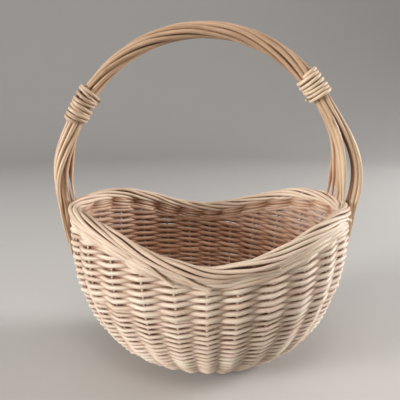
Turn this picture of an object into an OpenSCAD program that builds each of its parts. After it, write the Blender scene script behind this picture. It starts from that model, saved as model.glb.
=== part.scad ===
// Woven willow market basket: an oval boat-shaped body under a fixed arched handle.
// Origin: centre of the flat underside. X runs from end to end, Y from front (-Y) to back, Z up.
// Every rod bundle is simplified to the solid it fills: a woven band is one ring pierced by the stakes.

/* [Body] */
// Half length of the flat base, mm
base_half_len = 57; // [52:1:62]
// Half width of the flat base, mm
base_half_wid = 40; // [36:1:44]
// Half length of the wall's middle surface where the bowl is longest, mm
bowl_half_len = 175; // [168:1:180]
// Half width of the wall's middle surface where the bowl is widest, mm
bowl_half_wid = 126; // [118:1:132]
// Height at which the bowl is longest and widest, mm
bowl_height = 170; // [164:1:176]
// Thickness of the woven wall and of the base, mm
wall_t = 9; // [8.5:0.5:10]
// Plan shape: 2 is a true ellipse and less draws the ends and sides out to soft points
plan_power = 1.88; // [1.8:0.02:2.1]

/* [Rim] */
// Mean height of the top of the border, mm
rim_mid = 204; // [200:1:208]
// Rise of the two ends above the mean, and drop of the sides below it, mm
rim_rise = 18; // [12:1:20]
// Broadening of the high ends, mm
rim_broad = 6.5; // [2:0.5:8]
// How far the front dips below the mean of the front and back dips, mm
rim_lean = 6; // [0:1:8]
// Thickness of one of the three border strands, mm
strand_d = 7.2; // [6.6:0.1:7.6]
// Full turns that each border strand makes on its way round the rim
border_turns = 9; // [7:1:10]

/* [Weave] */
// Number of upright stakes
stake_count = 26; // [24:2:28]
// Thickness of a stake, mm
stake_d = 4; // [3.4:0.2:4.2]
// Turn of the whole ring of stakes from the front centre line, degrees
stake_turn = -1.7; // [-4:0.1:4]
// Crowding of the stakes towards the front and back, degrees
stake_crowd = 3.2; // [0:0.2:5]
// Height at which thick weavers take over from thin ones, mm
band_z = 110; // [100:2:120]
// Height of the wale under the border, mm
wale_h = 12; // [8:1:14]
// How far round the turn from base to wall the bottom wale reaches, degrees
foot_turn = 12; // [8:1:16]

/* [Base sticks] */
// Thickness of the short sticks across the base, mm
short_d = 7; // [6.6:0.1:7.4]
// Thickness of the long sticks threaded through them, mm
long_d = 4; // [3.4:0.2:4.2]
// Spacing of the short sticks, mm
short_pitch = 12; // [10:1:13]

/* [Handle] */
// Height of the centre of the arch at its top, mm
arch_top = 423; // [405:1:440]
// Height at which the arch is widest, mm
arch_spring = 228; // [226:1:236]
// Half width of the arch's centre line, mm
arch_half = 180; // [176:1:184]
// How far the arch stands towards the left end (-X), mm
arch_lean = 6.5; // [4:0.5:9]
// Thickness of the bow at the centre of the handle, mm
bow_d = 8.8; // [8.4:0.1:9.2]
// Thickness of each of the eight rods roped round the bow, mm
rod_d = 5.2; // [4.8:0.1:5.4]

/* [Bindings] */
// Turns in the left binding
turns_left = 8; // [6:1:8]
// Turns in the right binding
turns_right = 6; // [5:1:7]
// Thickness of the binding rod, mm
bind_d = 4.6; // [4:0.1:5]
// Place of the left binding round the arch, degrees from level
bind_left = 33.5; // [31:0.5:38]
// Place of the right binding round the arch, degrees from level
bind_right = 42; // [38:1:46]

/* [Hidden] */
step = 0.5;
fit = 0.3;
tilt_fit = 0.6;
plan_e = 2 / plan_power;
mid_z = wall_t / 2;
strand_r = strand_d / 2;
// three round strands that touch lie this far from their common axis; the last term is for the facets
strand_off = strand_r * 2 / sqrt(3) + 0.4;
border_r = strand_off + strand_r;
rod_count = 8;
// the rods make one full turn between the bindings, so that each leg meets them in the same order
rope_turns = 1;
rope_r = max(bow_d / 2 + rod_d / 2, rod_d / 2 / sin(180 / rod_count)) + 0.15;
bind_r = rope_r + rod_d / 2 + bind_d / 2 + 0.8;
bind_pitch = bind_d + 0.6;
long_count = 3;
short_count = 5;
channel_r = stake_d * 0.8;
straw = [0.87, 0.75, 0.55];
cream = [0.91, 0.82, 0.65];
tan_rod = [0.76, 0.60, 0.41];
buff = [0.82, 0.68, 0.48];

// levels of wall between base and border: [band, share of the band's height]
wall_levels = [[0, 0], [1, 0], [1, 0.25], [1, 0.5], [1, 0.75], [2, 0], [2, 0.5], [3, 0], [3, 1]];

// ---- vectors and sweeps ----
function unit(v) = v / norm(v);
function signed_pow(v, e) = sign(v) * pow(abs(v), e);
function mix(a, b, f) = a * (1 - f) + b * f;

// a tube through the points, with its radius at each; side_dir(k) gives a direction to hang each ring on
function ring_at(p, along, side, r, sides) =
    let (u = unit(side - along * (side * along)), v = cross(along, u))
    [for (j = [0:sides - 1]) p + r * (u * cos(360 * j / sides) + v * sin(360 * j / sides))];
function along_at(pts, k) = unit(pts[min(k + 1, len(pts) - 1)] - pts[max(k - 1, 0)]);
function loop_along(pts, k) =
    let (n = len(pts))
    unit(pts[(k + 1) % n] - pts[(k + n - 1) % n]);

module tube(pts, sides_dir, radii, sides) {
    n = len(pts);
    rings = [for (k = [0:n - 1]) each ring_at(pts[k], along_at(pts, k), sides_dir[k], radii[k], sides)];
    walls = [for (k = [0:n - 2]) for (j = [0:sides - 1])
        let (a = k * sides + j, b = k * sides + (j + 1) % sides)
        each [[a, a + sides, b], [b, a + sides, b + sides]]];
    ends = [[for (j = [0:sides - 1]) j], [for (j = [sides - 1:-1:0]) (n - 1) * sides + j]];
    polyhedron(points = rings, faces = concat(walls, ends));
}

module closed_tube(pts, sides_dir, r, sides) {
    n = len(pts);
    rings = [for (k = [0:n - 1]) each ring_at(pts[k], loop_along(pts, k), sides_dir[k], r, sides)];
    walls = [for (k = [0:n - 1]) for (j = [0:sides - 1])
        let (m = (k + 1) % n, a = k * sides + j, b = k * sides + (j + 1) % sides)
        let (c = m * sides + j, d = m * sides + (j + 1) % sides)
        each [[a, c, b], [b, c, d]]];
    polyhedron(points = rings, faces = walls);
}

// ---- the wall's middle surface: t turns from flat (0) through upright (90), th goes round ----
function wall_mid(t, th) = [
    mix(base_half_len, bowl_half_len, sin(t)) * signed_pow(cos(th), plan_e),
    mix(base_half_wid, bowl_half_wid, sin(t)) * signed_pow(sin(th), plan_e),
    mid_z + (bowl_height - mid_z) * (1 - cos(t))];
function wall_round(t, th) = unit(wall_mid(t, th + step) - wall_mid(t, th - step));
function wall_out(t, th) =
    unit(cross(wall_round(t, th), wall_mid(t + step, th) - wall_mid(t - step, th)));
function turn_at(z) = acos(1 - (z - mid_z) / (bowl_height - mid_z));
function rim_z(th) = rim_mid + rim_rise * cos(2 * th) - rim_broad * cos(4 * th) + rim_lean * sin(th);

// angle round the basket of a stake (i whole) or of the middle of a bay (i and a half)
function stake_th(i) =
    let (s = -90 + stake_turn + i * 360 / stake_count)
    s + stake_crowd * sin(2 * s);
// turn of the wall at the bottom of each band, and above the last
function band_turn(band, th) =
    band == 0 ? 0 :
    band == 1 ? foot_turn :
    band == 2 ? turn_at(band_z) :
    band == 3 ? turn_at(rim_z(th) - 2 * border_r - wale_h) :
    turn_at(rim_z(th) - 2 * border_r - tilt_fit);
function level_turn(level, th) = mix(band_turn(level[0], th), band_turn(level[0] + 1, th), level[1]);

// ---- woven bands: one ring with a square channel for each stake ----
// eight points for each bay: outside and inside at the stake, the channel, then mid bay
function bay_points(level, i) =
    let (th = stake_th(i), t = level_turn(level, th), p = wall_mid(t, th))
    let (o = wall_out(t, th), u = wall_round(t, th))
    let (thm = stake_th(i + 0.5), tm = level_turn(level, thm))
    let (pm = wall_mid(tm, thm), om = wall_out(tm, thm))
    [p + o * mid_z, p - o * mid_z, p + o * channel_r, p + u * channel_r,
     p - o * channel_r, p - u * channel_r, pm + om * mid_z, pm - om * mid_z];

module woven_band(levels) {
    n = stake_count;
    top = len(levels) - 1;
    points = [for (lev = levels) for (i = [0:n - 1]) each bay_points(lev, i)];
    // index of point q of bay i at level k
    function at(k, i, q) = (k * n + i % n) * 8 + q;
    function quad(a, b, c, d) = [[a, d, b], [b, d, c]];
    walls = [for (k = [0:top - 1]) for (i = [0:n - 1]) each concat(
        quad(at(k, i, 0), at(k, i, 6), at(k + 1, i, 6), at(k + 1, i, 0)),
        quad(at(k, i, 6), at(k, i + 1, 0), at(k + 1, i + 1, 0), at(k + 1, i, 6)),
        quad(at(k, i, 7), at(k, i, 1), at(k + 1, i, 1), at(k + 1, i, 7)),
        quad(at(k, i + 1, 1), at(k, i, 7), at(k + 1, i, 7), at(k + 1, i + 1, 1)),
        quad(at(k, i, 3), at(k, i, 2), at(k + 1, i, 2), at(k + 1, i, 3)),
        quad(at(k, i, 4), at(k, i, 3), at(k + 1, i, 3), at(k + 1, i, 4)),
        quad(at(k, i, 5), at(k, i, 4), at(k + 1, i, 4), at(k + 1, i, 5)),
        quad(at(k, i, 2), at(k, i, 5), at(k + 1, i, 5), at(k + 1, i, 2)))];
    // one half of the end face of a bay, wound clockwise seen from above when m is 0
    function cap(k, i) = [
        [at(k, i, 0), at(k, i, 2), at(k, i, 6)],
        [at(k, i, 2), at(k, i, 3), at(k, i, 6)],
        [at(k, i, 3), at(k, i, 7), at(k, i, 6)],
        [at(k, i, 3), at(k, i, 4), at(k, i, 7)],
        [at(k, i, 4), at(k, i, 1), at(k, i, 7)],
        [at(k, i + 1, 2), at(k, i + 1, 0), at(k, i, 6)],
        [at(k, i + 1, 5), at(k, i + 1, 2), at(k, i, 6)],
        [at(k, i + 1, 5), at(k, i, 6), at(k, i, 7)],
        [at(k, i + 1, 4), at(k, i + 1, 5), at(k, i, 7)],
        [at(k, i + 1, 1), at(k, i + 1, 4), at(k, i, 7)]];
    tops = [for (i = [0:n - 1]) each cap(top, i)];
    bottoms = [for (i = [0:n - 1]) for (f = cap(0, i)) [f[0], f[2], f[1]]];
    polyhedron(points = points, faces = concat(walls, tops, bottoms));
}

module foot_wale() color(buff) woven_band([for (k = [0:1]) wall_levels[k]]);
module siding_lower() color(cream) woven_band([for (k = [1:5]) wall_levels[k]]);
module siding_upper() color(straw) woven_band([for (k = [5:7]) wall_levels[k]]);
module top_wale() color(buff) woven_band([for (k = [7:8]) wall_levels[k]]);

module stake(i) {
    th = stake_th(i);
    turns = [for (lev = wall_levels) level_turn(lev, th)];
    color(tan_rod)
        tube([for (t = turns) wall_mid(t, th)], [for (t = turns) wall_out(t, th)],
            [for (t = turns) stake_d / 2], 6);
}

// ---- base ----
base_outline = [for (i = [0:0.5:stake_count - 0.5])
    let (p = wall_mid(0, stake_th(i)))
    [p.x, p.y]];
// the sticks stand this far above the plate, and stop this far from its edge
stick_proud = 1;
stick_short = 2;
stick_z = wall_t - short_d / 2 + stick_proud;
function base_edge(along, half_along, half_across) =
    half_across * pow(1 - pow(abs(along) / half_along, plan_power), 1 / plan_power) - stick_short;
function long_y(i) = (i - (long_count + 1) / 2) * (long_d + fit);
function short_x(i) = (i - (short_count + 1) / 2) * short_pitch;
function long_half(i) = base_edge(long_y(i), base_half_wid, base_half_len);
function short_half(i) = base_edge(short_x(i), base_half_len, base_half_wid);

module long_bar(i, d) {
    translate([0, long_y(i), stick_z])
        rotate([0, 90, 0])
            cylinder(h = 2 * long_half(i), d = d, center = true, $fn = 24);
}

module short_bar(i, d) {
    translate([short_x(i), 0, stick_z])
        rotate([90, 0, 0])
            cylinder(h = 2 * short_half(i), d = d, center = true, $fn = 32);
}

module base_stick_long(i) color(tan_rod) long_bar(i, long_d);

module base_stick_short(i) {
    color(tan_rod)
        difference() {
            short_bar(i, short_d);
            for (k = [1:long_count])
                long_bar(k, long_d + fit / 3);
        }
}

// the groove that a stick lies in, open at the top
module groove(len_x, len_y, d) {
    translate([0, 0, wall_t / 2 + stick_z])
        cube([len_x, len_y, wall_t], center = true);
}

module base_weave() {
    slath = long_y(long_count) - long_y(1) + long_d + fit;
    color(cream)
        difference() {
            linear_extrude(wall_t)
                polygon(base_outline);
            groove(2 * long_half(1) + fit, slath, long_d);
            for (k = [1:long_count])
                long_bar(k, long_d + fit);
            for (k = [1:short_count]) {
                short_bar(k, short_d + fit);
                translate([short_x(k), 0, 0])
                    groove(short_d + fit, 2 * short_half(k), short_d);
            }
        }
}

// ---- border: three strands laid round each other along the rim ----
border_steps = stake_count * 3;
function border_mid(th) = wall_mid(turn_at(rim_z(th) - border_r), th);
function border_out(th) =
    let (along = unit(border_mid(th + step) - border_mid(th - step)))
    let (o = wall_out(turn_at(rim_z(th) - border_r), th))
    unit(o - along * (o * along));
module border_strand(s) {
    ths = [for (k = [0:border_steps - 1]) stake_th(k / 3)];
    pts = [for (k = [0:border_steps - 1])
        let (a = 120 * s + 360 * border_turns * k / border_steps, th = ths[k])
        let (o = border_out(th), along = unit(border_mid(th + step) - border_mid(th - step)))
        border_mid(th) + strand_off * (o * cos(a) + cross(o, along) * sin(a))];
    color(buff)
        closed_tube(pts, [for (th = ths) border_out(th)], strand_r, 6);
}

// ---- handle: a bow with eight rods roped round it from the left shoulder to the right ----
// a is the angle round the arch: 180 at the left, 90 at the top, 0 at the right
function arch(a) = [
    arch_half * cos(a) - arch_lean,
    0,
    arch_spring + (arch_top - arch_spring) * sin(a)];
function arch_out(a) = unit([cos(a) / arch_half, 0, sin(a) / (arch_top - arch_spring)]);
function arch_along(a) = cross([0, 1, 0], arch_out(a));
// the rods are roped as far as the outer ends of the bindings, this many degrees from the middle of each
half_left = 7.5;
half_right = 6;
rope_from = 180 - bind_left + half_left;
rope_to = bind_right - half_right;
function roped(a, spin, r) =
    let (w = spin - 360 * rope_turns * (rope_from - a) / (rope_from - rope_to))
    arch(a) + r * (arch_out(a) * cos(w) + [0, 1, 0] * sin(w));

// ---- legs: from the shoulder the bundle opens out, and its rods pass the border and go into the weave ----
// angle round the basket of a point of the border that lies y from its end
function end_th(side, y) =
    let (e = asin(sign(y) * pow(abs(y) / bowl_half_wid, 1 / plan_e)))
    side < 0 ? 180 - e : e;
// a point by the border or by the wall at angle th, out from it by off
function by_border(th, off) = border_mid(th) + border_out(th) * off;
function by_wall(z, th, off) =
    let (t = turn_at(z))
    wall_mid(t, th) + wall_out(t, th) * off;
// the line that a bundle follows, leaving the shoulder along the arch and slanting in to the border
function bundle_line(side, off, f) =
    let (a0 = side < 0 ? rope_from : rope_to, th = side < 0 ? 180 : 0)
    let (p0 = arch(a0), p1 = by_border(th, off), d0 = arch_along(a0) * side)
    let (d1 = unit([0, 0, -1] - border_out(th) * (off > 0 ? leg_slant : 0)))
    let (h = norm(p1 - p0) * leg_pull, b = p0 + d0 * h, c = p1 - d1 * h)
    p0 * pow(1 - f, 3) + b * 3 * f * pow(1 - f, 2) + c * 3 * f * f * (1 - f) + p1 * pow(f, 3);
// a rod's place across the bundle is [out, along y] from the bow: it twists on, and eases to its last place
function leg_point(side, off, from, to, twist, f) =
    let (along = unit(bundle_line(side, off, f + 0.01) - bundle_line(side, off, f - 0.01)))
    let (out = cross([0, 1, 0], along) * -side, w0 = atan2(from[1], from[0]) + twist)
    let (gap = (atan2(to[1], to[0]) - w0 + 900) % 360 - 180, w = w0 - twist * (1 - f) + gap * pow(f, ease))
    let (r = mix(norm(from), norm(to), min(1, f * spread_rate)))
    bundle_line(side, off, f) + out * r * cos(w) + [0, r * sin(w), 0];
// a leg with a tip goes on down the wall to that height, and one without stops on top of the border
function leg_points(side, off, from, to, twist, tip_off, tip) =
    let (th = end_th(side, to[1]), share = tip > 0 ? 1 : above_border)
    let (leg = [for (k = [1:leg_steps]) leg_point(side, off, from, to, twist, share * k / leg_steps)])
    tip == 0 ? leg :
    concat(leg,
        [by_wall(mix(tip, rim_z(th), 0.5), th, mix(tip_off, off + to[0], 0.55)), by_wall(tip, th, tip_off)]);
// over the right border the middle rods fan out along it, each straight from beside the bow to its place
function fan_point(from, to, f) =
    let (along = unit(bundle_line(1, 0, f + 0.01) - bundle_line(1, 0, f - 0.01)))
    let (place = mix(from, to, pow(f, ease)))
    bundle_line(1, 0, f) + cross([0, -1, 0], along) * place[0] + [0, place[1], 0];
function fan_points(from, y) =
    let (to = [by_border(end_th(1, y), 0)[0] - by_border(0, 0)[0], y], share = above_fan - fan_rise * y)
    [for (k = [1:leg_steps]) fan_point(from, to, share * k / leg_steps)];
function reversed(v) = [for (k = [len(v) - 1:-1:0]) v[k]];

leg_steps = 9;
rope_steps = 18;
leg_pull = 0.42;
// how much the rods outside the border slant in towards it as they arrive
leg_slant = 0.28;
// a bundle has opened out by the first half of the leg, and its rods turn to their places a little later
spread_rate = 2;
ease = 1.5;
// how much of its leg a rod that stops on the border has
above_border = 0.92;
// the same for the right fan, which the border's rise cuts shorter by this much for each mm back
above_fan = 0.942;
fan_rise = 0.0006;
// thickness of a cut end against the rest of the bow or of a rod
bow_tip = 0.8;
rod_tip = 0.4;
// tips of the rods that lie against the wall, and of those that lie over them
tip_low = 142;
tip_high = 164;
hug = border_r + rod_d / 2 + fit;
bow_hug = border_r + bow_d / 2 + fit;
touch = rod_d + fit / 2;
bow_touch = (bow_d + rod_d) / 2 + fit / 2;
over_n = sqrt(pow(bow_touch, 2) - pow(touch / 2, 2));
pair_y = touch * 0.56;
function mirrored(half) = concat(half, [for (k = [len(half) - 1:-1:0]) [half[k][0], -half[k][1]]]);
// left leg, out and along from the bow: four rods outside it and four behind it that stop on the border
left_places = mirrored([[over_n, touch / 2], [over_n - 3 * fit, touch * 1.5], [-over_n, pair_y],
    [-over_n - touch, pair_y]]);
// the left leg goes on turning by a quarter, so each rod ends two places on
left_twist = 90;
function left_place(k) = left_places[(k + 1) % rod_count];
// right leg: rods 1, 2, 7 and 8 go outside the border, and the bow and rods 3 to 6 stop this far back on it
right_outer = [[touch * 1.04, pair_y], [0, touch * 1.5], [0, -touch * 0.52], [touch * 1.04, -pair_y]];
fan_y = [34.5, 24.5, 0.5, -9];
bow_y = 14;

module swept_rod(pts, d, tip_share, sides) {
    last = len(pts) - 1;
    radii = [for (k = [0:last]) d / 2 * (min(k, last - k) == 0 ? tip_share : 1)];
    color(tan_rod)
        tube(pts, [for (k = [0:last]) [0, 1, 0]], radii, sides);
}

module handle_bow() {
    lie = mid_z + bow_d / 2 + fit;
    middle = [for (k = [0:rope_steps]) arch(mix(rope_from, rope_to, k / rope_steps))];
    left = leg_points(-1, bow_hug, [0, 0], [0, 0], 0, lie, tip_low);
    swept_rod(concat(reversed(left), middle, fan_points([0, 0], bow_y)), bow_d, bow_tip, 8);
}

module handle_rod(k) {
    spin = 45 * k - 22.5;
    start = rope_r * [cos(spin), sin(spin)];
    lie = mid_z + rod_d / 2 + fit;
    middle = [for (n = [0:rope_steps]) roped(mix(rope_from, rope_to, n / rope_steps), spin, rope_r)];
    left = left_place(k)[0] > 0
        ? leg_points(-1, bow_hug, start, left_place(k), left_twist, lie + bow_d, tip_high)
        : leg_points(-1, bow_hug, start, left_place(k), left_twist, 0, 0);
    place = right_outer[k < 3 ? k - 1 : k - 5];
    right = k > 2 && k < 7 ? fan_points(start, fan_y[k - 3]) :
        place[0] > 0 ? leg_points(1, hug, start, place, 0, lie + touch, tip_high) :
        leg_points(1, hug, start, place, 0, lie, tip_low);
    swept_rod(concat(reversed(left), middle, right), rod_d, rod_tip, 6);
}

// ---- bindings ----
function arch_speed(a) = norm(arch(a + step) - arch(a - step)) / (2 * step);
module binding(a0, turns) {
    per_turn = 12;
    n = turns * per_turn;
    half = turns * bind_pitch / 2 / arch_speed(a0);
    color(straw)
        tube([for (k = [0:n]) roped_turn(a0 + half * (1 - 2 * k / n), 360 * k / per_turn)],
            [for (k = [0:n]) arch_along(a0 + half * (1 - 2 * k / n))],
            [for (k = [0:n]) bind_d / 2], 5);
}
function roped_turn(a, w) = arch(a) + bind_r * (arch_out(a) * cos(w) + [0, 1, 0] * sin(w));

base_weave();
for (i = [1:long_count]) base_stick_long(i);
for (i = [1:short_count]) base_stick_short(i);
foot_wale();
siding_lower();
siding_upper();
top_wale();
for (i = [1:stake_count]) stake(i);
for (i = [1:3]) border_strand(i);
handle_bow();
for (i = [1:rod_count]) handle_rod(i);
binding(180 - bind_left, turns_left);  // binding_left
binding(bind_right, turns_right);  // binding_right
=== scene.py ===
"""Woven willow market basket. Every rod is its own piece: stakes, randed weavers, waling, rolled border,
base weavers, and a bowed handle of roped rods with a binding at each shoulder."""

import math

import bpy
import numpy as np
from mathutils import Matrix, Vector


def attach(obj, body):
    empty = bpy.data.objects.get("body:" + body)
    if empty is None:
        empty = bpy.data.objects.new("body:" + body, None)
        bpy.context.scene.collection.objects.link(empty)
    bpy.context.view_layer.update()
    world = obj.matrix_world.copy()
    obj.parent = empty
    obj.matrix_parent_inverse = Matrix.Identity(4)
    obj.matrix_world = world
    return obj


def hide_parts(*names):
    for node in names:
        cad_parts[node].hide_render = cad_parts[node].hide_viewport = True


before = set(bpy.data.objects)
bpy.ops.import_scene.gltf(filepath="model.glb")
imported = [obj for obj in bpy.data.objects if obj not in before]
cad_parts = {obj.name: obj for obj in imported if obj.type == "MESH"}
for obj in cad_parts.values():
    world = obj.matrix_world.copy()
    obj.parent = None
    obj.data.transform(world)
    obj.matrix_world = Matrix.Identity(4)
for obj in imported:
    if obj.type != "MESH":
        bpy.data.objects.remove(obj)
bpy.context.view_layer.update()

# ---- the basket's shape, in metres and degrees, as in the CAD part ----
# half the length and half the width of the base and of the bowl, and the height where the bowl is widest
BASE_LEN, BASE_WID = 0.057, 0.040
BOWL_LEN, BOWL_WID, BOWL_H = 0.175, 0.126, 0.170
WALL_T = 0.009
MID_Z = WALL_T / 2
# seen from above, each outline is |x / length|^p + |y / width|^p = 1
PLAN_POWER = 1.88
PLAN_E = 2 / PLAN_POWER
# the rim's mean height, how far its ends rise over its sides, how broad the rises are, and how far the back
# stands over the front
RIM_MID, RIM_RISE, RIM_BROAD, RIM_LEAN = 0.204, 0.018, 0.0065, 0.006
STAKES, STAKE_TURN, STAKE_CROWD = 26, -1.7, 3.2
STAKE_R = 0.0021
# where the upper siding starts, how high the top wale is, and the turn of the wall where the foot wale ends
BAND_Z, WALE_H, FOOT_TURN = 0.110, 0.012, 12.0
BORDER_R = 0.00816
ARCH_TOP, ARCH_SPRING, ARCH_HALF, ARCH_LEAN = 0.423, 0.228, 0.180, 0.0065
# places on the arch are angles, 180 at its left spring and 0 at its right
BIND_LEFT, BIND_RIGHT = 146.5, 42.0
ROPE_FROM, ROPE_TO = BIND_LEFT + 7.5, BIND_RIGHT - 6.0
BOW_R, ROD_R, ROPE_R = 0.0044, 0.0026, 0.00715
STICK_Z = 0.0065
SHORT_PITCH, SHORT_R, LONG_PITCH, LONG_R = 0.012, 0.0035, 0.0043, 0.002
# the small turn over which directions along a curve are taken
STEP = 0.5
UP = np.array([0.0, 0.0, 1.0])
BACK = np.array([0.0, 1.0, 0.0])


def unit(v):
    return v / np.maximum(np.linalg.norm(v, axis=-1, keepdims=True), 1e-12)


def signed_pow(v, e):
    return np.sign(v) * np.abs(v) ** e


def mix(a, b, f):
    return a * (1 - f) + b * f


def smooth(x):
    x = np.clip(x, 0, 1)
    return x * x * (3 - 2 * x)


def rising(x, start, end):
    """0 up to start, 1 from end on, and smooth between them."""
    return smooth((x - start) / (end - start))


def sin_d(a):
    return np.sin(np.radians(a))


def cos_d(a):
    return np.cos(np.radians(a))


def wall_mid(t, th):
    """The wall's middle surface: t turns from flat (0) through upright (90), th goes round."""
    t, th = np.broadcast_arrays(np.asarray(t, float), np.asarray(th, float))
    return np.stack([
        mix(BASE_LEN, BOWL_LEN, sin_d(t)) * signed_pow(cos_d(th), PLAN_E),
        mix(BASE_WID, BOWL_WID, sin_d(t)) * signed_pow(sin_d(th), PLAN_E),
        MID_Z + (BOWL_H - MID_Z) * (1 - cos_d(t))], -1)


def wall_out(t, th):
    """Straight out from the wall."""
    around = unit(wall_mid(t, th + STEP) - wall_mid(t, th - STEP))
    return unit(np.cross(around, wall_mid(t + STEP, th) - wall_mid(t - STEP, th)))


def turn_at(z):
    """The wall's turn at the height z."""
    return np.degrees(np.arccos(1 - (z - MID_Z) / (BOWL_H - MID_Z)))


def rim_z(th):
    return RIM_MID + RIM_RISE * cos_d(2 * th) - RIM_BROAD * cos_d(4 * th) + RIM_LEAN * sin_d(th)


def stake_th(u):
    """Where round the wall stake u stands. The stakes stand closer together at the bowl's ends."""
    s = -90 + STAKE_TURN + u * 360 / STAKES
    return s + STAKE_CROWD * sin_d(2 * s)


def border_mid(th):
    """The middle of the rolled border."""
    return wall_mid(turn_at(rim_z(th) - BORDER_R), th)


def border_frame(th):
    """The border's direction, straight out from it, and up across it."""
    along = unit(border_mid(th + STEP) - border_mid(th - STEP))
    o = wall_out(turn_at(rim_z(th) - BORDER_R), th)
    o = unit(o - along * np.sum(o * along, -1, keepdims=True))
    return along, o, np.cross(o, along)


def arch(a):
    """The handle's centre line."""
    a = np.asarray(a, float)
    return np.stack([
        ARCH_HALF * cos_d(a) - ARCH_LEAN,
        0 * a,
        ARCH_SPRING + (ARCH_TOP - ARCH_SPRING) * sin_d(a)], -1)


def arch_out(a):
    """Straight out from the arch."""
    a = np.asarray(a, float)
    return unit(np.stack([cos_d(a) / ARCH_HALF, 0 * a, sin_d(a) / (ARCH_TOP - ARCH_SPRING)], -1))


def arch_along(a):
    return np.cross(BACK, arch_out(a))


def turned(a, w, r):
    """A point r out from the arch's centre line, turned w round it from its outer side."""
    w, r = np.asarray(w, float), np.asarray(r, float)[..., None]
    return arch(a) + r * (arch_out(a) * cos_d(w)[..., None] + BACK * sin_d(w)[..., None])


def wander(along, rng, size, wave):
    """A smooth random curve over the distances along, about size high, with bends about wave apart."""
    total = 0
    for k in (1.0, 1.7, 2.9):
        total = total + np.sin(along * 2 * np.pi * k / wave + rng.uniform(0, 2 * np.pi)) / k
    return size * 0.6 * total


# ---- rods: a swept skin with its grain, tone and painted shade kept on the mesh ----
# a cut end's rounded edge, and how wide its face is, in rod radii
CUT_EDGE, CUT_FACE = 0.35, 0.72
# flats and lumps round a rod: how high, in rod radii, and how fast they turn along it, in radians a metre
FLATS, FLATS_TURN = 0.035, 55
LUMPS, LUMPS_TURN = 0.02, 90
# cosines between which a rod's side goes from free to pressed, and how dark the painted shade on the pressed
# side is
PRESSED_FROM, PRESSED_FULL, PRESSED_DARK = -0.28, 0.44, 0.85


def run_of(pts):
    """How far along the curve each point is."""
    return np.concatenate([[0], np.cumsum(np.linalg.norm(np.diff(pts, axis=0), axis=1))])


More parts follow.
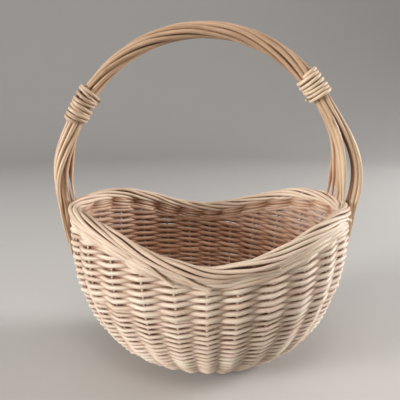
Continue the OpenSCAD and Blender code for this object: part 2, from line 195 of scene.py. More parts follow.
def rod(name, pts, radii, sides_dir, rng, replaced, material, sides=8, closed=False, tone=None,
        grime_and_shade=0.0, buried=None, inward=None):
    """A rod through pts. sides_dir hangs each ring, tone goes from pale (0) to deep (1), the darkening given
    for each ring stands for dirt and painted shade, and buried points from the rod to what presses on it,
    where shade is painted. The side that faces inward is painted browner, as shade inside the bowl."""
    pts = np.asarray(pts, float)
    n = len(pts)
    grime_and_shade = np.broadcast_to(np.asarray(grime_and_shade, float), (n,))
    tone = np.broadcast_to(np.asarray(rng.uniform(0, 1) if tone is None else tone, float), (n,))
    buried = np.zeros((n, 3)) if buried is None else np.broadcast_to(buried, (n, 3))
    inward = np.zeros((n, 3)) if inward is None else np.broadcast_to(inward, (n, 3))
    radii = np.broadcast_to(np.asarray(radii, float), (n,)).copy()
    sides_dir = np.broadcast_to(np.asarray(sides_dir, float), (n, 3))
    if closed:
        along = unit(np.roll(pts, -1, 0) - np.roll(pts, 1, 0))
    else:
        along = unit(np.gradient(pts, axis=0))
    s = run_of(pts)
    u = unit(sides_dir - along * np.sum(sides_dir * along, -1, keepdims=True))
    v = np.cross(along, u)
    if not closed:
        # each end is cut square with a slightly rounded edge
        cut = CUT_EDGE * radii[[0, -1]]
        pts = np.vstack([pts[0] - along[0] * cut[0], pts, pts[-1] + along[-1] * cut[1]])
        radii = np.concatenate([[radii[0] * CUT_FACE], radii, [radii[-1] * CUT_FACE]])
        u, v = np.vstack([u[:1], u, u[-1:]]), np.vstack([v[:1], v, v[-1:]])
        buried = np.vstack([buried[:1], buried, buried[-1:]])
        inward = np.vstack([inward[:1], inward, inward[-1:]])
        grime_and_shade = np.concatenate([grime_and_shade[:1], grime_and_shade, grime_and_shade[-1:]])
        tone = np.concatenate([tone[:1], tone, tone[-1:]])
        s = np.concatenate([[s[0] - cut[0]], s, [s[-1] + cut[1]]])
        n += 2
    a = np.arange(sides) * 2 * np.pi / sides
    lump = 1 + FLATS * np.sin(2 * a[None] + s[:, None] * FLATS_TURN + rng.uniform(0, 6))
    lump = lump + LUMPS * np.sin(3 * a[None] - s[:, None] * LUMPS_TURN + rng.uniform(0, 6))
    facing = u[:, None] * np.cos(a)[None, :, None] + v[:, None] * np.sin(a)[None, :, None]
    ring = pts[:, None] + (radii[:, None] * lump)[..., None] * facing
    # painted shade on the side pressed against another piece, joined with the given darkening by dirt and
    # painted shade
    pressed = rising(np.sum(facing * buried[:, None], -1), PRESSED_FROM, PRESSED_FULL)
    dark = 1 - (1 - np.clip(grime_and_shade, 0, 1)[:, None]) * (1 - PRESSED_DARK * pressed)
    verts = ring.reshape(-1, 3)
    k = np.arange(n if closed else n - 1)[:, None]
    j = np.arange(sides)[None]
    k2, j2 = (k + 1) % n, (j + 1) % sides
    quads = np.stack([k * sides + j, k * sides + j2, k2 * sides + j2, k2 * sides + j], -1).reshape(-1, 4)
    faces = quads.tolist()
    if not closed:
        faces.append(list(range(sides - 1, -1, -1)))
        faces.append([(n - 1) * sides + q for q in range(sides)])
    mesh = bpy.data.meshes.new(name)
    mesh.from_pydata(verts.tolist(), [], faces)
    mesh.polygons.foreach_set("use_smooth", [True] * len(quads) + [False] * (len(faces) - len(quads)))
    shift = rng.uniform(-5, 5, 3)
    grain = np.stack([
        np.repeat(s[:, None], sides, 1),
        radii[:, None] * np.cos(a)[None],
        radii[:, None] * np.sin(a)[None]], -1) + shift
    g = mesh.attributes.new("grain", "FLOAT_VECTOR", "POINT")
    g.data.foreach_set("vector", grain.astype(np.float32).ravel())
    # each rod's own hue, turned to a painted brown shade on the side that faces inward
    hue = rng.uniform(0.3, 1) * (1 - smooth(np.sum(facing * inward[:, None], -1) + 0.3))
    tones = np.stack([np.repeat(tone, sides), hue.ravel(), dark.ravel()], -1)
    g = mesh.attributes.new("tone", "FLOAT_VECTOR", "POINT")
    g.data.foreach_set("vector", tones.astype(np.float32).ravel())
    mesh.update()
    mesh.materials.append(material)
    ob = bpy.data.objects.new(name, mesh)
    bpy.context.scene.collection.objects.link(ob)
    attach(ob, "root")
    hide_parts(*replaced)


# ---- peeled willow ----
# stretches of the grain: its streaks, fine lines, patches and knots are long along the rod, short across it
STREAKS, FINE_LINES = (28.0, 620.0, 620.0), (160.0, 2600.0, 2600.0)
PATCHES, KNOTS = (26.0, 90.0, 90.0), (26.0, 150.0, 150.0)
# how much the rod's own tone, the patches and the streaks each deepen the colour
TONE_SHARE, PATCH_SHARE, STREAK_SHARE, SHADE_BASE = 0.42, 0.62, 0.52, 0.38
# the inward-facing side's brown is painted shade; pink and straw are the rods' own hues
INNER_SHADE_TINT, PINK_TINT, STRAW_TINT = (1.0, 0.76, 0.61, 1), (1.0, 0.94, 0.90, 1), (0.98, 1.0, 0.94, 1)
# the knots' colour, and the colour that dirt and painted shade darken towards
KNOT_COLOUR, GRIME_AND_SHADE_COLOUR = (0.16, 0.075, 0.035, 1), (0.38, 0.205, 0.115, 1)


def willow(name, pale, mid, deep, rough):
    """Peeled willow: tone from rod to rod, grain along the rod, soft patches, and a few knots."""
    m = bpy.data.materials.new(name)
    m.use_nodes = True
    nt = m.node_tree
    nodes, links = nt.nodes, nt.links
    nodes.clear()

    def node(kind, **values):
        nd = nodes.new(kind)
        for key, val in values.items():
            setattr(nd, key, val)
        return nd

    def scaled(source, scale):
        mp = node("ShaderNodeMapping")
        mp.inputs["Scale"].default_value = scale
        links.new(source, mp.inputs["Vector"])
        return mp.outputs["Vector"]

    def noise(vector, detail, harshness=0.55):
        nz = node("ShaderNodeTexNoise")
        nz.inputs["Scale"].default_value = 1.0
        nz.inputs["Detail"].default_value = detail
        nz.inputs["Roughness"].default_value = harshness
        links.new(vector, nz.inputs["Vector"])
        return nz.outputs["Fac"]

    def math_(op, a, b=None, clamp=False):
        mt = node("ShaderNodeMath", operation=op, use_clamp=clamp)
        for sock, val in zip(mt.inputs, (a, b)):
            if val is None:
                continue
            if isinstance(val, (int, float)):
                sock.default_value = val
            else:
                links.new(val, sock)
        return mt.outputs[0]

    def ranged(value, lo, hi, to_lo, to_hi):
        mr = node("ShaderNodeMapRange", interpolation_type="SMOOTHSTEP")
        for sock, val in zip(mr.inputs[1:5], (lo, hi, to_lo, to_hi)):
            sock.default_value = val
        links.new(value, mr.inputs[0])
        return mr.outputs[0]

    grain = node("ShaderNodeAttribute", attribute_name="grain").outputs["Vector"]
    tone = node("ShaderNodeAttribute", attribute_name="tone")
    parts = node("ShaderNodeSeparateXYZ")
    links.new(tone.outputs["Vector"], parts.inputs[0])
    streak = noise(scaled(grain, STREAKS), 4.0, 0.62)
    fine = noise(scaled(grain, FINE_LINES), 2.0)
    patch = noise(scaled(grain, PATCHES), 3.0)
    shade = math_("MULTIPLY", parts.outputs["X"], TONE_SHARE)
    shade = math_("ADD", shade, math_("MULTIPLY", patch, PATCH_SHARE))
    shade = math_("ADD", shade, math_("MULTIPLY", streak, STREAK_SHARE))
    shade = math_("SUBTRACT", shade, SHADE_BASE, clamp=True)
    ramp = node("ShaderNodeValToRGB")
    ramp.color_ramp.elements[0].position = 0.08
    ramp.color_ramp.elements[0].color = (*pale, 1)
    ramp.color_ramp.elements[1].position = 0.95
    ramp.color_ramp.elements[1].color = (*deep, 1)
    half = ramp.color_ramp.elements.new(0.5)
    half.color = (*mid, 1)
    links.new(shade, ramp.inputs[0])
    # from a painted brown shade where the rod faces inward, through rods that lean to pink, to rods of a
    # greenish straw
    lean = node("ShaderNodeValToRGB")
    lean.color_ramp.elements[0].color = INNER_SHADE_TINT
    lean.color_ramp.elements[1].color = STRAW_TINT
    pink = lean.color_ramp.elements.new(0.3)
    pink.color = PINK_TINT
    links.new(parts.outputs["Y"], lean.inputs[0])
    tint = node("ShaderNodeMix", data_type="RGBA", blend_type="MULTIPLY")
    tint.inputs[0].default_value = 1.0
    links.new(ramp.outputs[0], tint.inputs[6])
    links.new(lean.outputs[0], tint.inputs[7])
    # knots: small dark eyes, on few of the cells
    cells = node("ShaderNodeTexVoronoi", feature="F1")
    cells.inputs["Scale"].default_value = 1.0
    links.new(scaled(grain, KNOTS), cells.inputs["Vector"])
    eye = ranged(cells.outputs["Distance"], 0.05, 0.24, 1.0, 0.0)
    pick = node("ShaderNodeSeparateColor")
    links.new(cells.outputs["Color"], pick.inputs[0])
    eye = math_("MULTIPLY", eye, ranged(pick.outputs[0], 0.80, 0.84, 0.0, 1.0))
    knot = node("ShaderNodeMix", data_type="RGBA", blend_type="MIX")
    links.new(math_("MULTIPLY", eye, 0.62), knot.inputs[0])
    links.new(tint.outputs[2], knot.inputs[6])
    knot.inputs[7].default_value = KNOT_COLOUR

    # darkening by dirt and by painted shade in the hollows and where rods press, broken up by the patches
    darkening_amount = math_("MULTIPLY", parts.outputs["Z"], ranged(patch, 0.25, 0.75, 0.72, 1.0))
    darkened = node("ShaderNodeMix", data_type="RGBA", blend_type="MULTIPLY")
    links.new(darkening_amount, darkened.inputs[0])
    links.new(knot.outputs[2], darkened.inputs[6])
    darkened.inputs[7].default_value = GRIME_AND_SHADE_COLOUR

    shader = node("ShaderNodeBsdfPrincipled")
    shader.inputs["Specular IOR Level"].default_value = 0.40
    shader.inputs["Sheen Weight"].default_value = 0.08
    shader.inputs["Sheen Roughness"].default_value = 0.5
    links.new(darkened.outputs[2], shader.inputs["Base Color"])
    links.new(ranged(streak, 0.3, 0.7, rough - 0.07, rough + 0.10), shader.inputs["Roughness"])
    height = math_("ADD", streak, math_("MULTIPLY", fine, 0.35))
    height = math_("ADD", height, math_("MULTIPLY", patch, 0.8))
    height = math_("SUBTRACT", height, math_("MULTIPLY", eye, 0.7))
    bump = node("ShaderNodeBump")
    bump.inputs["Strength"].default_value = 0.55
    bump.inputs["Distance"].default_value = 0.0006
    links.new(height, bump.inputs["Height"])
    links.new(bump.outputs[0], shader.inputs["Normal"])
    out = node("ShaderNodeOutputMaterial")
    links.new(shader.outputs[0], out.inputs[0])
    return m


CREAM = willow("willow_cream", (0.82, 0.73, 0.64), (0.70, 0.58, 0.48), (0.47, 0.35, 0.26), 0.46)
BUFF = willow("willow_buff", (0.79, 0.68, 0.57), (0.65, 0.52, 0.41), (0.42, 0.29, 0.20), 0.46)
AMBER = willow("willow_amber", (0.69, 0.53, 0.38), (0.54, 0.38, 0.26), (0.32, 0.20, 0.12), 0.42)
STRAW = willow("willow_straw", (0.72, 0.60, 0.46), (0.58, 0.45, 0.33), (0.38, 0.26, 0.17), 0.44)

# each kind of rod has its own run of random numbers
SEED = 20
KIND = {"lower": 1, "upper": 2, "top": 3, "foot": 4, "stake": 5, "border": 6, "handle": 7, "binding": 8,
        "base": 9}


def rng_for(kind, *which):
    return np.random.default_rng([SEED, KIND[kind], *which])


# ---- wall weave ----
# arc length up the wall's front against turn, for even rows
TURNS = np.linspace(0, 110, 1101)
RUNS = run_of(wall_mid(TURNS, np.full_like(TURNS, -90.0)))
# rings of a woven rod from one stake to the next
PER_BAY = 8
# how far up its band each wale starts, its climb in a round, its rounds and its rods' radius
FOOT_START, FOOT_RISE, FOOT_ROUNDS, FOOT_ROD_R = 0.0018, 0.0078, 2.0, 0.0021
WALE_START, WALE_RISE, WALE_ROUNDS, WALE_ROD_R = 0.0022, 0.0052, 2.7, 0.0027


def turn_up(run):
    return np.interp(run, RUNS, TURNS)


def run_at(t):
    return np.interp(t, TURNS, RUNS)


def inset(t):
    """How far the visible wall's middle lies inside the CAD middle surface: most at the foot and the bowl."""
    return 0.0006 + 0.0016 * rising(t, 22, 4) + 0.0014 * rising(t, 50, 75)


def on_wall(t, th, off):
    """Points off out from the middle of the visible wall."""
    return wall_mid(t, th) + wall_out(t, th) * (off - inset(t))[:, None]


def wale_floor(th):
    """The run up the wall to the top wale's lower edge."""
    return run_at(turn_at(rim_z(th) - 2 * BORDER_R - WALE_H))


def border_floor(th):
    """The run up the wall to the border's lower edge."""
    return run_at(turn_at(rim_z(th) - 2 * BORDER_R))


def siding_top(th):
    """The run to the siding's top edge. The wale's lowest round climbs from the front round to the front
    again, and the siding fills up to it."""
    return wale_floor(th) - 0.0005 + WALE_RISE * ((np.asarray(th) + 90) % 360) / 360


def inside_brown_shade(t):
    """How strongly the inward-facing side is painted with brown shade: less towards the rim."""
    return mix(1.0, 0.35, rising(t, 62, 96))


def inside_shade(t):
    """How much painted shade darkens the strokes that lie inside the bowl: most just under the rim."""
    return mix(0.14, 0.5, rising(t, 70, 94))


# the lower siding's two edges as runs up the wall, its rows, and how far a weaver climbs from stake to stake
LOW_FROM, LOW_TO = run_at(FOOT_TURN) + 0.001, run_at(turn_at(BAND_Z))
LOW_ROWS = 17
LOW_RISE = (LOW_TO - LOW_FROM) / LOW_ROWS / 2
LOW_ROD_R = LOW_RISE * 0.61
# the upper siding's thicker weavers may climb a little over its top before they end
UP_RISE = 0.0043
UP_FROM, UP_OVER, UP_ROD_R = LOW_TO + UP_RISE * 0.45, UP_RISE * 1.2, UP_RISE * 0.655
MAX_BAYS = 46
# how far a weaver's ends run past the stake they lie behind, in bays
LEAD, LAG = 0.35, 0.45
# how sharply a weaver bends over a stake, from a soft wave (0) to a corner (1)
SHARP = 0.92
# how far a weaver passes from a stake's middle, as a share of touching it: by the base, on the upright wall,
# and the further share of that on the inside
WEAVE_LOW, WEAVE_HIGH, WEAVE_INNER = 0.32, 0.96, 0.72
WALE_LOW, WALE_HIGH = 0.36, 0.95
# painted shade where a rod crosses from one side of the wall to the other, and on a wale rod behind a stake
WEAVE_CROSSING, WALE_CROSSING, WALE_INNER = 0.34, 0.5, 0.34


def fold(u):
    """1 in front of a stake and -1 behind the next, and nearly straight between, as willow bends."""
    corner = 1 - 2 * np.abs(u - 2 * np.round(u / 2))
    return mix(np.cos(np.pi * u), corner, SHARP)


def randed(kind, j, rise, run0, top, over, radius):
    """One weaver of a randed band: in front of stake j, behind the next, rising by rise at each stake.
    Where the band's top dips below it the weaver ends, and a new one takes over past the dip."""
    u_all = np.arange(-PER_BAY, MAX_BAYS * PER_BAY + 1) / PER_BAY
    below = run0 + u_all * rise < top(stake_th(j + u_all)) + over
    edges = np.flatnonzero(np.diff(np.concatenate([[0], below.astype(int), [0]])))
    made = 0
    for first, past in zip(edges[::2], edges[1::2]):
        # both ends lie inside, behind a stake
        lo = -1.0 if first == 0 else 2 * math.floor((u_all[first] + 0.4) / 2) + 1.0
        hi = 2 * math.ceil((u_all[past - 1] - 0.9) / 2) + 1.0
        if hi - lo < 1.5:
            continue
        rng = rng_for(kind, j, made)
        u = np.arange(round((lo - LEAD) * PER_BAY), round((hi + LAG) * PER_BAY) + 1) / PER_BAY
        th = stake_th(j + u)
        size = radius * rng.uniform(0.90, 1.08)
        share = np.linspace(0, 1, len(u))
        swing = fold(u)
        r = size * mix(1.06, 0.94, share) + wander(u, rng, size * 0.05, 2.3)
        run = run0 + u * rise + wander(u, rng, rise * 0.11, 2.7) + wander(u, rng, rise * 0.08, 9.0)
        run = np.minimum(run, top(th) + rise * rng.uniform(-0.6, 0.3))
        t = turn_up(run)
        out = wall_out(t, th)
        off = (STAKE_R + r) * swing * mix(WEAVE_LOW, WEAVE_HIGH, rising(t, 8, 50))
        off = off + wander(u, rng, 0.0003, 3.1)
        off = np.where(off < 0, off * WEAVE_INNER, off)
        # painted shade inside the bowl behind the stakes, and where the weaver crosses through the wall
        grime_and_shade = inside_shade(t) * rising(-swing, 0, 0.5) + WEAVE_CROSSING * (1 - np.abs(swing)) ** 2
        rod(f"weaver_{kind}_{j + 1}{'abcdef'[made]}", on_wall(t, th, off), r, out, rng,
            [f"siding_{kind}"], CREAM, grime_and_shade=grime_and_shade, buried=-out * swing[:, None],
            inward=-out * inside_brown_shade(t)[:, None])
        made += 1


for j in range(STAKES):
    randed("lower", j, LOW_RISE, LOW_FROM, lambda th: np.full_like(th, LOW_TO), 0.0, LOW_ROD_R)
for j in range(STAKES):
    randed("upper", j, UP_RISE, UP_FROM, siding_top, UP_OVER, UP_ROD_R)

# over three bays: how far out a wale rod is, and how it lifts to lie over the rod it passes
WALE_OFF_AT, WALE_OFF = [0, 0.55, 1.2, 2.2, 3.0], [-1.0, 0.55, 1.0, 0.70, -1.0]
WALE_LIFT_AT, WALE_LIFT = [0, 0.6, 1.2, 2.3, 3.0], [0.0, 0.62, 0.75, -0.45, 0.0]


def waled(kind, k, start, rise, rounds, radius, material):
    """One rod of a three-rod wale: in front of two stakes, behind one, laid over the others where it comes
    out."""
    rng = rng_for(kind, k)
    u = np.arange(0, int(rounds * STAKES * PER_BAY) + 1) / PER_BAY
    th = stake_th(u + k)
    q = np.mod(u, 3)
    off = np.interp(q, WALE_OFF_AT, WALE_OFF)
    lift = np.interp(q, WALE_LIFT_AT, WALE_LIFT)
    ker = np.hanning(7) / np.hanning(7).sum()
    off = np.convolve(np.pad(off, 3, mode="edge"), ker, "valid")
    lift = np.convolve(np.pad(lift, 3, mode="edge"), ker, "valid")
    size = radius * rng.uniform(0.94, 1.06)
    r = size + wander(u, rng, size * 0.05, 4.0)
    run = start(th) + rise * u / STAKES + lift * radius * 1.05 + wander(u, rng, radius * 0.08, 3.3)
    run = np.minimum(run, border_floor(th) + radius * 0.5)
    t = turn_up(run)
    out = wall_out(t, th)
    # painted shade where the wale rod crosses through the wall and where it lies behind a stake
    grime_and_shade = WALE_CROSSING * np.clip(1 - np.abs(off) * 1.3, 0, 1) + np.where(off < 0, WALE_INNER, 0.0)
    off = off * (STAKE_R + r) * mix(WALE_LOW, WALE_HIGH, rising(t, 0, 60))
    rod(f"{kind}_wale_rod_{k + 1}", on_wall(t, th, off), r, out, rng, [f"{kind}_wale"], material,
        grime_and_shade=grime_and_shade, buried=-out * np.sign(off)[:, None], inward=-out * inside_brown_shade(t)[:, None])


for k in range(3):
    waled("foot", k, lambda th: np.full_like(th, FOOT_START), FOOT_RISE, FOOT_ROUNDS, FOOT_ROD_R, CREAM)
for k in range(3):
    waled("top", k, lambda th: wale_floor(th) + WALE_START, WALE_RISE, WALE_ROUNDS, WALE_ROD_R, BUFF)

# ---- stakes ----
STAKE_FROM, STAKE_RINGS = 3.0, 40
for i in range(STAKES):
    rng = rng_for("stake", i)
    th0 = stake_th(i)
    t = np.linspace(STAKE_FROM, float(turn_at(rim_z(th0) - BORDER_R)), STAKE_RINGS)
    s = run_at(t)
    th = th0 + wander(s, rng, 0.22, 0.09)
    # thinner towards the top
    r = STAKE_R * rng.uniform(0.94, 1.08) * mix(1.06, 0.92, np.linspace(0, 1, STAKE_RINGS))
    pts = on_wall(t, th, 0.0006 + wander(s, rng, 0.0003, 0.05))
    rod(f"willow_stake_{i + 1}", pts, r, wall_out(t, th), rng, [f"stake_{i + 1}"], CREAM,
        tone=rng.uniform(0, 0.4), grime_and_shade=0.05)

# ---- rolled border: each stake's upper end laid round its neighbours and out over the wale ----
BORDER_BAYS, TAIL_BAYS = 6.1, 0.95
# angles round the border's middle, 0 out and 90 up: where a rod starts, how far it turns in each bay, the
# sharper bend at its start, and where it stops turning
SPIN_FROM, SPIN_RATE, SPIN_BEND, SPIN_TO = 268, 46.0, 26, -50
BORDER_COIL, BORDER_ROD_R = 0.0064, 0.00255
# how far a shown end stands out, how far a hidden one is tucked in, and how far a shown one drops
TAIL_OUT, TAIL_IN, TAIL_DROP = 0.0052, 0.0012, (0.004, 0.008)
for i in range(STAKES):
    rng = rng_for("border", i)
    bays = BORDER_BAYS + rng.uniform(-0.4, 0.4)
    v = np.arange(0, int((bays + TAIL_BAYS) * PER_BAY) + 1) / PER_BAY
    th = stake_th(i + v)
    along, o, up = border_frame(th)
    spin = SPIN_FROM - SPIN_RATE * np.maximum(v - 0.15, 0) - SPIN_BEND * smooth(v / 0.8)
    spin = np.maximum(spin + wander(v, rng, 8.0, 4.2), SPIN_TO)
    tail = smooth((v - bays) / TAIL_BAYS)
    # the last ends show at the front, where the border was finished; elsewhere most are tucked away
    end = (th[-1] + 180) % 360 - 180
    shown = 1.0 if -115 < end < -80 else rng.choice([0.0, 0.0, 0.8])
    size = BORDER_ROD_R * rng.uniform(0.86, 1.10)
    r = size * mix(1.05, 0.80, v / v[-1]) * (1 - 0.25 * tail) + wander(v, rng, size * 0.05, 3.0)
    coil = BORDER_COIL * smooth(v / 0.9 + 0.25) + wander(v, rng, 0.0012, 3.1)
    coil = coil + (TAIL_OUT * shown - TAIL_IN) * tail
    radial = o * cos_d(spin)[:, None] + up * sin_d(spin)[:, None]
    pts = border_mid(th) + coil[:, None] * radial - up * (tail * shown * rng.uniform(*TAIL_DROP))[:, None]
    # painted shade on each rod's side that faces the border's middle
    rod(f"border_rod_{i + 1}", pts, r, o, rng, [f"border_strand_{i % 3 + 1}"], BUFF, sides=10,
        tone=rng.uniform(0, 0.9), grime_and_shade=0.06, buried=-radial)

# ---- handle ----
# a leg's bend and its slant over the border, how fast its rods spread and turn to their places, and how far
# down it the rods that go into the border stop
LEG_PULL, LEG_SLANT = 0.42, 0.28
SPREAD_RATE, EASE, INTO_BORDER = 2.0, 1.5, 0.99
LEG_RINGS, ROPE_RINGS, HANDLE_RINGS = 25, 70, 200
# heights of the rods' tips outside the wall, and the room between two pieces that touch
TIP_LOW, TIP_HIGH, TIP_STRAY = 0.142, 0.164, 0.008
FIT = 0.0003
# how thick a handle rod is along its length: at its left and right, its thicker leg, and its tips
THICK_LEFT, THICK_RIGHT, THICK_LEG, THICK_TIP, TIP_TAPER = 0.93, 1.12, 0.20, 0.4, 0.06
# heights between which the handle's colour goes from pale in the legs to deep over the top
PALE_Z, DEEP_Z = ARCH_TOP - 0.175, ARCH_TOP - 0.045
# the angle of the arch over which the roping settles at each shoulder
SETTLE = 12
HUG, BOW_HUG = BORDER_R + ROD_R + FIT, BORDER_R + BOW_R + FIT
TOUCH, BOW_TOUCH = 2 * ROD_R + FIT / 2, BOW_R + ROD_R + FIT / 2
OVER_N = math.sqrt(BOW_TOUCH ** 2 - TOUCH ** 2 / 4)
PAIR_Y = TOUCH * 0.56
BOW_LIE, LIE = WALL_T / 2 + BOW_R + FIT, WALL_T / 2 + ROD_R + FIT


def mirrored(half):
    return half + [(n, -y) for n, y in half[::-1]]


# a rod's place across the foot of a leg: how far out from the bow or the bundle's middle, and how far back
LEFT_PLACES = mirrored([(OVER_N, TOUCH / 2), (OVER_N - 0.0008, TOUCH * 1.5), (-OVER_N, PAIR_Y),
                        (-OVER_N - TOUCH, PAIR_Y)])
RIGHT_OUTER = {1: (TOUCH * 1.04, PAIR_Y), 2: (0.0, TOUCH * 1.5), 7: (0.0, -TOUCH * 0.52),
               8: (TOUCH * 1.04, -PAIR_Y)}
# how far back on the right border the bow and the other roped rods go in
BOW_Y, FAN_Y = 0.014, {3: 0.0345, 4: 0.0245, 5: 0.0005, 6: -0.009}
LEFT_TWIST = 90.0


def roped(a, spin, r):
    """A point of a rod that goes once round the bow from shoulder to shoulder."""
    return turned(a, spin - 360 * (ROPE_FROM - a) / (ROPE_FROM - ROPE_TO), r)


def bundle_line(side, off, f):
    """The line a bundle of rods follows from the shoulder to the border."""
    a0 = ROPE_FROM if side < 0 else ROPE_TO
    th = np.array([180.0 if side < 0 else 0.0])
    o = border_frame(th)[1][0]
    p0, p1 = arch(a0), border_mid(th)[0] + o * off
    d1 = unit(-UP - o * (LEG_SLANT if off > 0 else 0))
    h = np.linalg.norm(p1 - p0) * LEG_PULL
    b, c = p0 + arch_along(a0) * side * h, p1 - d1 * h
    f = np.asarray(f, float)[:, None]
    return p0 * (1 - f) ** 3 + b * 3 * f * (1 - f) ** 2 + c * 3 * f * f * (1 - f) + p1 * f ** 3


def end_th(side, y):
    """Where round the bowl's end a point y back from its middle is."""
    e = math.degrees(math.asin(math.copysign((abs(y) / BOWL_WID) ** (1 / PLAN_E), y)))
    return 180 - e if side < 0 else e


def fan_points(start, y):
    """A right leg's rod that goes into the border y back along it, straight from its place round the bow."""
    f = np.linspace(0, INTO_BORDER, LEG_RINGS)[1:]
    along = unit(bundle_line(1, 0.0, f + 0.01) - bundle_line(1, 0.0, f - 0.01))
    n = (border_mid(np.array([end_th(1, y)])) - border_mid(np.array([0.0])))[0, 0]
    share = f[:, None] ** EASE
    place = np.array(start) * (1 - share) + np.array([n, y]) * share
    return bundle_line(1, 0.0, f) + np.cross(-BACK, along) * place[:, :1] + BACK * place[:, 1:]


def leg_points(side, off, start, place, twist, tip_off=0, tip_z=0):
    """One rod's leg: its place across the bundle turns and spreads, then it lies down the wall to its tip.
    A rod without a tip is pushed into the border from above."""
    f = np.linspace(0, 1 if tip_z else INTO_BORDER, LEG_RINGS)[1:]
    along = unit(bundle_line(side, off, f + 0.01) - bundle_line(side, off, f - 0.01))
    out = np.cross(BACK, along) * -side
    w0 = math.degrees(math.atan2(start[1], start[0]))
    gap = (math.degrees(math.atan2(place[1], place[0])) - w0 - twist + 900) % 360 - 180
    w = w0 + twist * f + gap * f ** EASE
    r = mix(math.hypot(*start), math.hypot(*place), np.minimum(1, f * SPREAD_RATE))
    leg = bundle_line(side, off, f) + out * (r * cos_d(w))[:, None] + BACK * (r * sin_d(w))[:, None]
    if not tip_z:
        return leg
    th = end_th(side, place[1])
    t = turn_at(np.array([mix(tip_z, float(rim_z(th)), 0.5), tip_z]))
    offs = np.array([mix(tip_off, off + place[0], 0.55), tip_off])
    return np.vstack([leg, wall_mid(t, th) + wall_out(t, th) * offs[:, None]])


def smoothed(pts, count):
    """The same curve through pts with count even points, its corners rounded."""
    s = run_of(pts)
    even = np.linspace(0, s[-1], count)
    out = np.stack([np.interp(even, s, pts[:, k]) for k in range(3)], -1)
    for _ in range(6):
        out[1:-1] = (out[:-2] + 2 * out[1:-1] + out[2:]) / 4
    return out


def thicker_right(a):
    """The rods' thick ends are at the right shoulder, so the whole handle is stouter there."""
    return mix(1.10, 0.93, (a - ROPE_TO) / (ROPE_FROM - ROPE_TO))


def handle_rod(name, i, spin, rope_r, left, right, radius, replaced, core=None):
    """A rod from its left tip, over the arch rope_r from its middle, to its right tip. Gives its curve."""
    rng = rng_for("handle", i)
    a = np.linspace(ROPE_FROM, ROPE_TO, ROPE_RINGS)
    ease = np.minimum(1, np.minimum(ROPE_FROM - a, a - ROPE_TO) / SETTLE)
    w = spin + wander(a, rng, 5.0, 48) * ease
    mid = roped(a, w, rope_r * mix(1, thicker_right(a), ease) + wander(a, rng, 0.00025, 30) * ease)
    pts = smoothed(np.vstack([left[::-1], mid, right]), HANDLE_RINGS)
    s = run_of(pts)
    size = radius * rng.uniform(0.94, 1.05)
    share = s / s[-1]
    rr = size * mix(THICK_LEFT, THICK_RIGHT, share) * (1 + THICK_LEG * rising(share, 0.76, 0.88))
    rr = rr + wander(s, rng, size * 0.03, 0.06)
    rr = rr * mix(THICK_TIP, 1.0, rising(np.minimum(s, s[-1] - s), 0, TIP_TAPER))
    # painted shade on each roped rod's side that lies against the bow
    buried = None
    if core is not None:
        nearest = np.argmin(np.linalg.norm(pts[:, None] - core[None], axis=-1), axis=1)
        buried = unit(core[nearest] - pts)
    tone = rng.uniform(0.55, 1.2) - mix(0.7, 1.1, share) * rising(pts[:, 2], DEEP_Z, PALE_Z)
    rod(name, pts, rr, BACK, rng, replaced, AMBER, sides=12, tone=tone, grime_and_shade=0.08, buried=buried)
    return pts


bow = handle_rod("handle_bow_rod", 0, 0.0, 0.0,
                 leg_points(-1, BOW_HUG, (0, 0), (0, 0), 0, BOW_LIE, TIP_LOW),
                 fan_points((0, 0), BOW_Y), BOW_R, ["handle_bow"])
tip_rng = rng_for("handle", 30)
for k in range(1, 9):
    spin = 45 * k - 22.5
    start = (ROPE_R * math.cos(math.radians(spin)), ROPE_R * math.sin(math.radians(spin)))
    high = TIP_HIGH + tip_rng.uniform(-TIP_STRAY, TIP_STRAY)
    low = TIP_LOW + tip_rng.uniform(-TIP_STRAY, TIP_STRAY)
    place = LEFT_PLACES[(k + 1) % 8]
    if place[0] > 0:
        left = leg_points(-1, BOW_HUG, start, place, LEFT_TWIST, LIE + 0.5 * BOW_R, high)
    else:
        left = leg_points(-1, BOW_HUG, start, place, LEFT_TWIST)
    if k in FAN_Y:
        right = fan_points(start, FAN_Y[k])
    elif RIGHT_OUTER[k][0] > 0:
        right = leg_points(1, HUG, start, RIGHT_OUTER[k], 0, LIE + 0.5 * TOUCH, high)
    else:
        right = leg_points(1, HUG, start, RIGHT_OUTER[k], 0, LIE, low)
    handle_rod(f"handle_roped_rod_{k}", k, spin, ROPE_R, left, right, ROD_R, [f"handle_rod_{k}"], bow)

# ---- bindings ----
BIND_R, BIND_PITCH, BIND_RINGS = 0.0023, 0.0052, 24
# how far the first end lies under the turns and the last end over them, and how many turns the last end
# is laid back
BIND_TUCK, BIND_LAID_BACK = 0.0035, 1.7


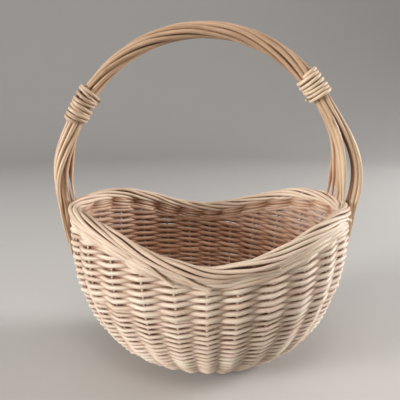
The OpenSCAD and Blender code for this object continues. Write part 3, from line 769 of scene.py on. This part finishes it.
def binding(side, i, a0, turns, tone):
    """A coil pulled tight round the handle at a0, its first end under the turns and its last tucked back
    over them."""
    rng = rng_for("binding", i)
    turn = np.arange(-BIND_RINGS // 3, turns * BIND_RINGS + BIND_RINGS // 2) / BIND_RINGS
    speed = np.linalg.norm(arch(a0 + STEP) - arch(a0 - STEP)) / (2 * STEP)
    half = turns * BIND_PITCH / 2 / speed
    back = rising(turn, turns - 0.15, turns + 0.4)
    a = a0 + half * (1 - 2 * np.clip(turn, 0, None) / turns)
    a = a + wander(turn, rng, half * 0.075, 1.3) + back * BIND_PITCH * BIND_LAID_BACK / speed
    coil = ROPE_R * thicker_right(a0) + ROD_R + BIND_R + 0.0002
    r = coil + wander(turn, rng, 0.0007, 1.9) + BIND_TUCK * (back - rising(turn, 0, -0.3))
    rr = BIND_R * mix(1.12, 0.90, np.clip(turn / turns, 0, 1)) + wander(turn, rng, BIND_R * 0.09, 0.9)
    pts = turned(a, 360 * turn, r)
    # painted shade on the coil's inner side, against the handle
    rod(f"binding_{side}_coil", pts, rr, arch_along(a), rng, [f"binding_{side}"], STRAW, sides=10,
        tone=tone, buried=unit(arch(a) - pts))


binding("left", 0, BIND_LEFT, 8, 1.0)
binding("right", 1, BIND_RIGHT, 6, 0.25)

# ---- base: sticks of the slath and pairs of weavers round them ----
STICK_INSET = 0.002
# the sticks fan apart from where the weaving starts: the short ones by a share, the long ones to a multiple
SHORT_FAN, SHORT_FAN_FROM = 0.30, 0.007
LONG_FAN, LONG_FAN_FROM = 1.4, 0.030
BASE_ROUNDS, BASE_ROD_R = 8, 0.0016
INNER_ROUND, OUTER_ROUND = (0.0295, 0.0085), (0.0550, 0.0385)


def base_reach(share):
    """How far the base reaches across, as a share, at that share of its length; and the other way round."""
    return (1 - share ** PLAN_POWER) ** (1 / PLAN_POWER)


stick_angles = []
for i in range(5):
    x0 = (i - 2) * SHORT_PITCH
    fan = SHORT_FAN * x0
    y_end = BASE_WID * base_reach(abs(x0 + fan) / BASE_LEN) - STICK_INSET
    y = np.linspace(-y_end, y_end, 33)
    x = x0 + fan * rising(np.abs(y), SHORT_FAN_FROM, y_end)
    pts = np.stack([x, y, np.full_like(y, STICK_Z)], -1)
    rng = rng_for("base", i)
    rod(f"base_stick_across_{i + 1}", pts, SHORT_R * 0.97 + wander(y, rng, 0.0001, 0.03), UP, rng,
        [f"base_stick_short_{i + 1}"], BUFF, sides=12)
    stick_angles += [math.atan2(side * y_end / BASE_WID, (x0 + fan) / BASE_LEN) for side in (-1, 1)]
for i in range(3):
    y0 = (i - 1) * LONG_PITCH
    x_end = BASE_LEN * base_reach(abs(y0) / BASE_WID) - STICK_INSET
    x = np.linspace(-x_end, x_end, 41)
    y = y0 * (1 + LONG_FAN * rising(np.abs(x), LONG_FAN_FROM, x_end))
    pts = np.stack([x, y, np.full_like(x, STICK_Z)], -1)
    rng = rng_for("base", 10 + i)
    rod(f"base_stick_along_{i + 1}", pts, LONG_R * 0.97, UP, rng, [f"base_stick_long_{i + 1}"],
        BUFF, sides=12)
    stick_angles += [math.atan2(y0 * (1 + LONG_FAN) / BASE_WID, side * x_end / BASE_LEN) for side in (-1, 1)]

# each weaver goes over one stick and under the next, and its partner the other way
sticks = np.sort(np.array(stick_angles))
around = np.linspace(-np.pi, np.pi, 241)[:-1]
passed = np.interp(around, np.concatenate([sticks - 2 * np.pi, sticks, sticks + 2 * np.pi]),
                   np.arange(-len(sticks), 2 * len(sticks)))
# lower over the long sticks, which are thinner
over_sticks = 0.0049 - 0.0009 * np.abs(np.cos(around)) ** 6
for m in range(BASE_ROUNDS):
    f = (m + 0.5) / BASE_ROUNDS
    half_x, half_y = (mix(inner, outer, f) for inner, outer in zip(INNER_ROUND, OUTER_ROUND))
    for w in range(2):
        rng = rng_for("base", 20 + 2 * m + w)
        pts = np.stack([
            half_x * signed_pow(np.cos(around), PLAN_E),
            half_y * signed_pow(np.sin(around), PLAN_E),
            STICK_Z + over_sticks * np.cos((passed + w) * np.pi)], -1)
        rod(f"base_weaver_{2 * m + w + 1}", pts, BASE_ROD_R, UP, rng, ["base_weave"], CREAM,
            sides=7, closed=True, grime_and_shade=0.15)


# ---- stage, light and camera ----
def paper(name, colour):
    """Matt paper of very slightly uneven colour."""
    m = bpy.data.materials.new(name)
    m.use_nodes = True
    nt = m.node_tree
    shader = nt.nodes["Principled BSDF"]
    nz = nt.nodes.new("ShaderNodeTexNoise")
    nz.inputs["Scale"].default_value = 3.0
    ramp = nt.nodes.new("ShaderNodeValToRGB")
    ramp.color_ramp.elements[0].color = (*[c * 0.985 for c in colour], 1)
    ramp.color_ramp.elements[1].color = (*colour, 1)
    nt.links.new(nz.outputs["Fac"], ramp.inputs[0])
    nt.links.new(ramp.outputs[0], shader.inputs["Base Color"])
    shader.inputs["Roughness"].default_value = 0.9
    shader.inputs["Specular IOR Level"].default_value = 0.1
    return m


# a round floor that curves up into a wall, so every view has the same backdrop
FLOOR_R, FLOOR_BEND, WALL_TOP = 2.6, 2.6, 5.0
FLOOR_SIDES, BEND_STEPS = 96, 12
profile = [(0.6, 0.0), (1.0, 0.0), (FLOOR_R, 0.0)]
for k in range(1, BEND_STEPS + 1):
    bend = math.pi / 2 * k / BEND_STEPS
    profile.append((FLOOR_R + FLOOR_BEND * math.sin(bend), FLOOR_BEND * (1 - math.cos(bend))))
profile.append((FLOOR_R + FLOOR_BEND, WALL_TOP))
corners = [2 * math.pi * k / FLOOR_SIDES for k in range(FLOOR_SIDES)]
verts = [(0.0, 0.0, 0.0)] + [(r * math.cos(c), r * math.sin(c), z) for r, z in profile for c in corners]
faces = [(0, 1 + k, 1 + (k + 1) % FLOOR_SIDES) for k in range(FLOOR_SIDES)]
for m in range(len(profile) - 1):
    low, high = 1 + m * FLOOR_SIDES, 1 + (m + 1) * FLOOR_SIDES
    for k in range(FLOOR_SIDES):
        after = (k + 1) % FLOOR_SIDES
        faces.append((low + k, high + k, high + after, low + after))
mesh = bpy.data.meshes.new("floor")
mesh.from_pydata(verts, [], faces)
mesh.polygons.foreach_set("use_smooth", [True] * len(faces))
floor = bpy.data.objects.new("floor", mesh)
bpy.context.scene.collection.objects.link(floor)
mesh.materials.append(paper("pale_paper", (0.58, 0.57, 0.56)))


def area_light(name, at, aim, size, power, colour):
    """A soft box of light at one place, turned to another."""
    light = bpy.data.lights.new(name, "AREA")
    light.shape = "RECTANGLE"
    light.size, light.size_y = size
    light.energy = power
    light.color = colour
    ob = bpy.data.objects.new(name, light)
    bpy.context.scene.collection.objects.link(ob)
    ob.location = at
    towards = Vector(aim) - Vector(at)
    ob.rotation_euler = towards.to_track_quat("-Z", "Y").to_euler()


AIM = (0.0, 0.0, 0.16)
area_light("key", (-3.10, -1.35, 0.85), AIM, (0.9, 1.1), 122, (1.0, 0.975, 0.95))
area_light("side", (3.10, 0.60, 1.00), AIM, (0.8, 1.4), 122, (1.0, 0.98, 0.96))
area_light("top", (0.0, -0.5, 2.5), AIM, (1.6, 1.6), 13, (1.0, 0.985, 0.97))
area_light("bowl", (0.0, -0.45, 0.78), (0.0, 0.06, 0.10), (0.3, 0.3), 1.0, (1.0, 0.86, 0.72))
WORLD_POWER = 0.15
world = bpy.data.worlds.new("studio")
world.use_nodes = True
world.node_tree.nodes["Background"].inputs[0].default_value = (1.0, 0.98, 0.96, 1)
world.node_tree.nodes["Background"].inputs[1].default_value = WORLD_POWER
bpy.context.scene.world = world
bpy.context.scene.view_settings.view_transform = "Standard"

CAMERA_AT, CAMERA_DIP = (-0.01175, -0.49845, 0.32209), 12.07
camera = bpy.data.cameras.new("camera")
camera.lens, camera.sensor_width = 35.28, 36.0
cam = bpy.data.objects.new("camera", camera)
bpy.context.scene.collection.objects.link(cam)
cam.location = CAMERA_AT
cam.rotation_euler = (math.radians(90 - CAMERA_DIP), 0, 0)
bpy.context.scene.camera = cam
